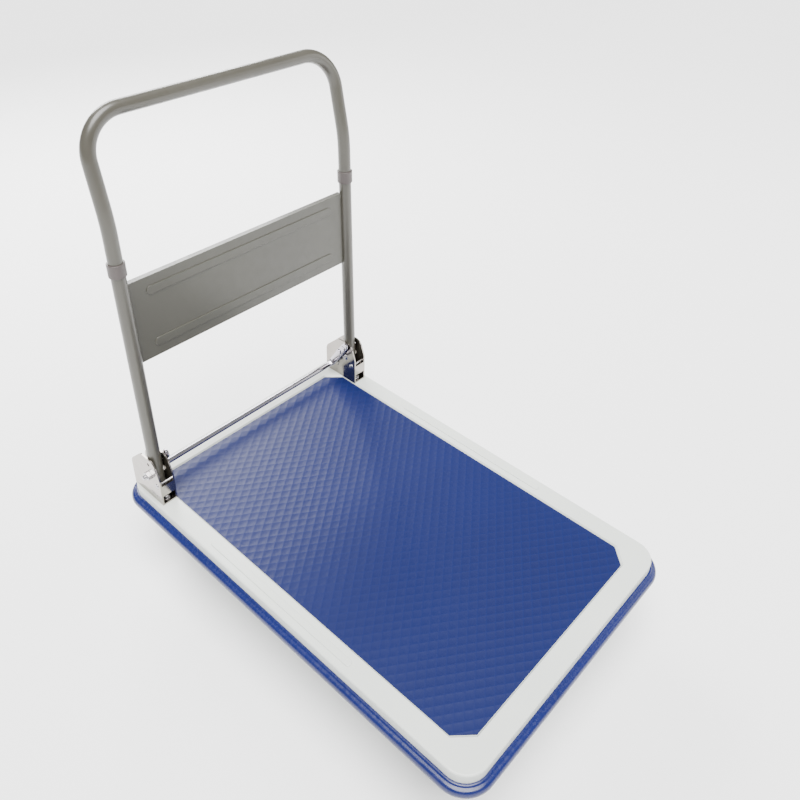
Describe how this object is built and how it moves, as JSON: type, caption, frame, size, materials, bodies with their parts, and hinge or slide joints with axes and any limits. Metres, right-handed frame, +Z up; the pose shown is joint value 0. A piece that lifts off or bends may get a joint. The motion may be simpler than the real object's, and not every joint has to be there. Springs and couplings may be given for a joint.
{
  "type": "folding platform cart",
  "caption": "Folding platform cart: flat pressed deck with rubber mat and edge bumper, tubular push handle that folds down on plated brackets, foot bar lock and rolling casters.",
  "frame": {"origin": "on the floor, at the centre of the footprint", "axes": "+X towards the nose, away from the push handle; +Y to the left-hand side; +Z up"},
  "size_m": [0.9, 0.6, 0.9625],
  "materials": {
    "deck_paint": "smooth off-white powder coat",
    "mat_rubber": "blue rubber sheet with small raised diamonds",
    "bumper_rubber": "satin blue extruded rubber",
    "handle_paint": "warm light grey powder coat",
    "panel_paint": "grey powder coat",
    "collar_plastic": "satin grey moulded plastic",
    "plain_steel": "plain cold drawn steel",
    "bush_plastic": "natural nylon",
    "bright_plate": "bright nickel plating",
    "chrome_bar": "polished chrome plating",
    "spring_steel": "oiled spring wire",
    "tyre_rubber": "grey-black solid rubber tyre",
    "wheel_plastic": "moulded nylon wheel core",
    "zinc_plate": "zinc plated pressed steel",
    "zinc_fasteners": "zinc plated steel"
  },
  "bodies": {
    "deck": {"bracket_bolts": "zinc_fasteners", "bracket_left": "bright_plate", "bracket_nuts": "zinc_fasteners", "bracket_right": "bright_plate", "caster_bolts": "zinc_fasteners", "caster_nuts": "zinc_fasteners", "deck_mat": "mat_rubber", "deck_plate": "deck_paint", "edge_bumper": "bumper_rubber", "fixed_fork_left": "zinc_plate", "fixed_fork_right": "zinc_plate", "front_axle_bolt_left": "zinc_fasteners", "front_axle_bolt_right": "zinc_fasteners", "front_axle_nut_left": "zinc_fasteners", "front_axle_nut_right": "zinc_fasteners", "lock_pivot_studs": "chrome_bar", "lock_springs": "spring_steel", "pivot_bolts": "zinc_fasteners", "pivot_nuts": "zinc_fasteners", "rail_front": "deck_paint", "rail_rear": "deck_paint", "stop_pins": "zinc_fasteners", "stringer_left": "deck_paint", "stringer_right": "deck_paint", "swivel_plate_left": "zinc_plate", "swivel_plate_right": "zinc_plate"},
    "swivel_left": {"swivel_fork_left": "zinc_plate", "swivel_balls_left": "zinc_fasteners", "kingpin_left": "zinc_fasteners", "kingpin_nut_left": "zinc_fasteners", "rear_axle_bolt_left": "zinc_fasteners", "rear_axle_nut_left": "zinc_fasteners"},
    "rear_wheel_left": {"rear_tyre_left": "tyre_rubber", "rear_wheel_core_left": "wheel_plastic", "rear_wheel_bush_left": "bush_plastic"},
    "front_wheel_left": {"front_tyre_left": "tyre_rubber", "front_wheel_core_left": "wheel_plastic", "front_wheel_bush_left": "bush_plastic"},
    "swivel_right": {"swivel_fork_right": "zinc_plate", "swivel_balls_right": "zinc_fasteners", "kingpin_right": "zinc_fasteners", "kingpin_nut_right": "zinc_fasteners", "rear_axle_bolt_right": "zinc_fasteners", "rear_axle_nut_right": "zinc_fasteners"},
    "rear_wheel_right": {"rear_tyre_right": "tyre_rubber", "rear_wheel_core_right": "wheel_plastic", "rear_wheel_bush_right": "bush_plastic"},
    "front_wheel_right": {"front_tyre_right": "tyre_rubber", "front_wheel_core_right": "wheel_plastic", "front_wheel_bush_right": "bush_plastic"},
    "handle": {"handle_lower_tube_left": "handle_paint", "handle_lower_tube_right": "handle_paint", "handle_upper_tube": "handle_paint", "handle_spigots": "plain_steel", "handle_collar_left": "collar_plastic", "handle_collar_right": "collar_plastic", "pivot_bushes": "bush_plastic", "back_panel": "panel_paint"},
    "foot_bar": {"lock_rod": "chrome_bar", "lock_pins": "chrome_bar"}
  },
  "joints": [
    {"name": "handle_fold", "type": "hinge", "parent": "deck", "child": "handle", "pos_m": [-0.358, 0, 0.251], "axis": [0, 1, 0], "range_deg": [0, 90]},
    {"name": "foot_bar_press", "type": "hinge", "parent": "deck", "child": "foot_bar", "pos_m": [-0.3695, 0, 0.2645], "axis": [0, -1, 0], "range_deg": [0, 15], "stiffness_Nm_per_rad": 1.5, "springref_deg": -14.32},
    {"name": "swivel_left_turn", "type": "hinge", "parent": "deck", "child": "swivel_left", "pos_m": [-0.3, 0.19, 0.1], "axis": [0, 0, 1], "continuous": true},
    {"name": "swivel_right_turn", "type": "hinge", "parent": "deck", "child": "swivel_right", "pos_m": [-0.3, -0.19, 0.1], "axis": [0, 0, 1], "continuous": true},
    {"name": "rear_wheel_left_roll", "type": "hinge", "parent": "swivel_left", "child": "rear_wheel_left", "pos_m": [-0.338, 0.19, 0.0625], "axis": [0, 1, 0], "continuous": true},
    {"name": "rear_wheel_right_roll", "type": "hinge", "parent": "swivel_right", "child": "rear_wheel_right", "pos_m": [-0.338, -0.19, 0.0625], "axis": [0, 1, 0], "continuous": true},
    {"name": "front_wheel_left_roll", "type": "hinge", "parent": "deck", "child": "front_wheel_left", "pos_m": [0.32, 0.19, 0.0625], "axis": [0, 1, 0], "continuous": true},
    {"name": "front_wheel_right_roll", "type": "hinge", "parent": "deck", "child": "front_wheel_right", "pos_m": [0.32, -0.19, 0.0625], "axis": [0, 1, 0], "continuous": true}
  ]
}
